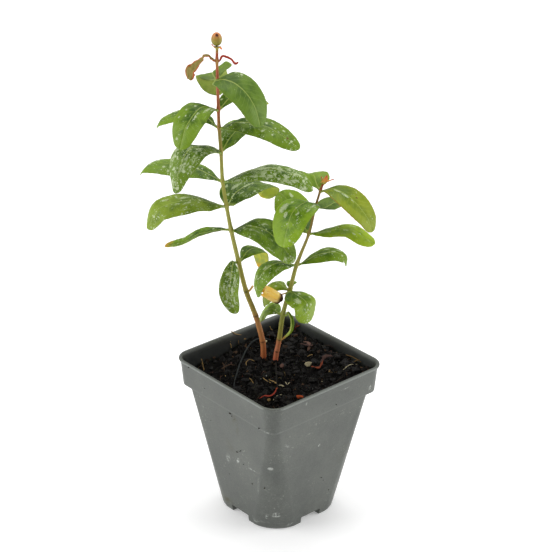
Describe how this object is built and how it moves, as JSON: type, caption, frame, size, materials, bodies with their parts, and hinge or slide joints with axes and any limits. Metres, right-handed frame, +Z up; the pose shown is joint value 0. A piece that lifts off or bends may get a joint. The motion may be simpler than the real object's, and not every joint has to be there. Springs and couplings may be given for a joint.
{
  "type": "potted st johns wort",
  "caption": "Young St John's wort with two leafy shoots, a fruit and bud remains, in a tapering square nursery pot filled with peat.",
  "frame": {"origin": "centre of the pot's underside, on the plane that it stands on", "axes": "+Z up the plant; X and Y square to the pot's sides; the picture is taken from the corner between -X and -Y"},
  "size_m": [0.1075, 0.1311, 0.2918],
  "materials": {
    "pot": "matt moulded grey plastic, dusty",
    "soil": "dark fibrous peat",
    "stem": "olive green to reddish young bark",
    "leaf": "slightly glossy green leaf with pale specks",
    "dry_leaf": "dry yellow-brown leaf",
    "fruit": "smooth green-tan capsule"
  },
  "bodies": {
    "root": {"pot": "pot", "soil": "soil", "tall_stem": "stem", "short_stem": "stem", "tall_leaf_1_left": "leaf", "tall_leaf_1_right": "leaf", "tall_leaf_2_left": "leaf", "tall_leaf_2_right": "leaf", "tall_leaf_3_left": "leaf", "tall_leaf_3_right": "leaf", "tall_leaf_4_left": "leaf", "tall_leaf_4_right": "leaf", "tall_leaf_5_left": "leaf", "tall_leaf_5_right": "leaf", "tall_leaf_6_left": "leaf", "tall_leaf_6_right": "leaf", "tall_leaf_7_left": "leaf", "tall_leaf_7_right": "leaf", "tall_leaf_8_left": "leaf", "tall_leaf_8_right": "leaf", "short_leaf_1_left": "leaf", "short_leaf_1_right": "leaf", "short_leaf_2_left": "leaf", "short_leaf_2_right": "leaf", "short_leaf_3_left": "leaf", "short_leaf_3_right": "leaf", "short_leaf_4_left": "leaf", "short_leaf_4_right": "leaf", "short_leaf_5_left": "leaf", "short_leaf_5_right": "leaf", "short_leaf_6_left": "leaf", "short_leaf_6_right": "leaf", "short_leaf_2_back": "leaf", "withered_leaf_left": "dry_leaf", "withered_leaf_right": "dry_leaf", "leaf_stub": "dry_leaf", "dead_yellow_leaf": "dry_leaf", "fruit_sepal_left": "dry_leaf", "fruit_sepal_right": "dry_leaf", "bud_remains_left": "dry_leaf", "bud_remains_middle": "dry_leaf", "bud_remains_right": "dry_leaf", "fruit": "fruit"}
  },
  "joints": []
}
